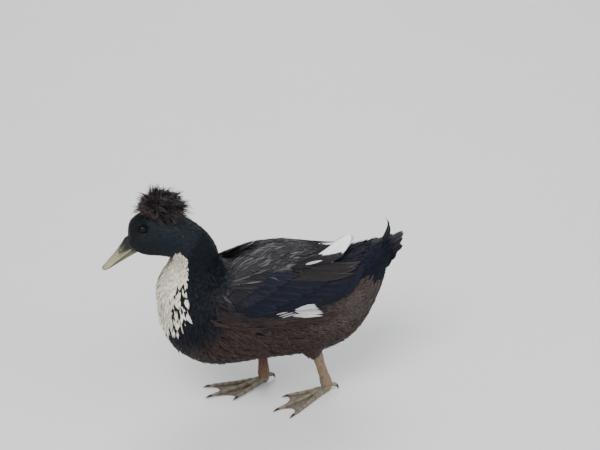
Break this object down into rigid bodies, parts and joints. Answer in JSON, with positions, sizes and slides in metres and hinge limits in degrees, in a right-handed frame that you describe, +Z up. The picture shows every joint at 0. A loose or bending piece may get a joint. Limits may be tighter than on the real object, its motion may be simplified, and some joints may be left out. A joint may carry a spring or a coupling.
{
  "type": "standing crested duck",
  "caption": "Life-size standing duck with a rounded feather crest, folded wings, short raised tail and webbed feet in mid-step.",
  "frame": {"origin": "centre of the bounding box's base, on the ground between the feet", "axes": "-X towards the bill, +X towards the tail, +Z up, the duck's left side at -Y"},
  "size_m": [0.4152, 0.1518, 0.3346],
  "materials": {
    "head_feathers": "glossy dark green contour feathers",
    "neck_feathers": "blue-black contour feathers with a white bib",
    "body_feathers": "dark brown contour feathers",
    "wing_feathers": "blue-black flight feathers",
    "tail_feathers": "blue-black tail feathers",
    "crest_feathers": "loose dark down",
    "bill_horn": "satin olive horn",
    "bill_horn_lower": "satin olive horn",
    "eye": "wet and glossy",
    "shank_skin": "scaled orange-brown skin",
    "foot_skin": "scaled grey-tan skin"
  },
  "bodies": {
    "root": {"head": "head_feathers", "bill_upper": "bill_horn", "bill_lower": "bill_horn_lower", "crest": "crest_feathers", "neck": "neck_feathers", "torso": "body_feathers", "tail": "tail_feathers", "wing_left": "wing_feathers", "thigh_left": "body_feathers", "shank_left": "shank_skin", "foot_left": "foot_skin", "eye_left": "eye", "wing_right": "wing_feathers", "thigh_right": "body_feathers", "shank_right": "shank_skin", "foot_right": "foot_skin", "eye_right": "eye"}
  },
  "joints": []
}
